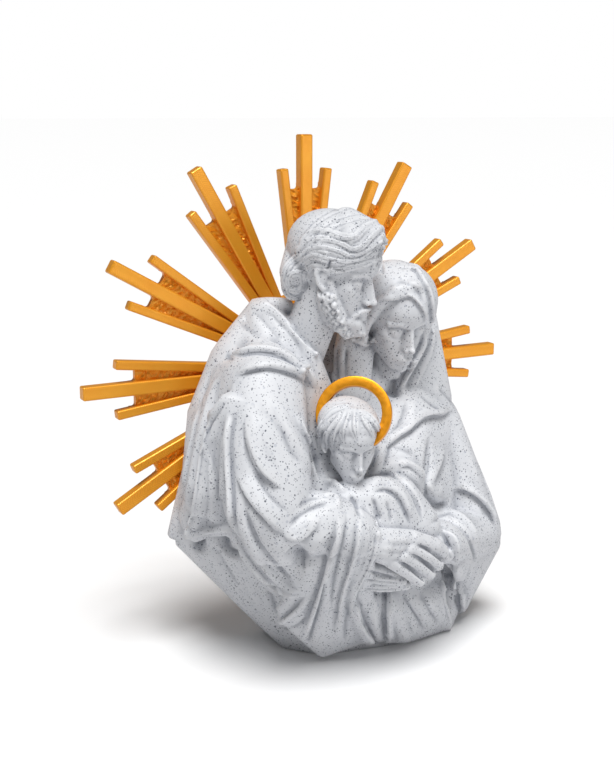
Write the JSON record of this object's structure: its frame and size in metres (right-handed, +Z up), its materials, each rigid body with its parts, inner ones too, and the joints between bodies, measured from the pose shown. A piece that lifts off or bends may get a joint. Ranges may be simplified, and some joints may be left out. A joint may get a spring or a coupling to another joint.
{
  "type": "holy family bust",
  "caption": "Devotional bust of two robed adults holding a child, flat-backed on a cut-off base, with a ray burst behind and a ring halo.",
  "frame": {"origin": "on the flat underside, in line with the burst's middle and halfway along the underside's depth", "axes": "+Z up, -Y the way the group faces, +X to the woman's side"},
  "size_m": [0.2, 0.0876, 0.216],
  "materials": {
    "speckled_stone": "cool light grey with dense dark flecks, like marble filament",
    "gold_rays": "gold-orange silk plastic with fine print lines",
    "gold_halo": "gold-orange silk plastic, smooth"
  },
  "bodies": {
    "root": {"holy_family_bust": "speckled_stone", "ray_burst": "gold_rays", "child_halo": "gold_halo"}
  },
  "joints": []
}
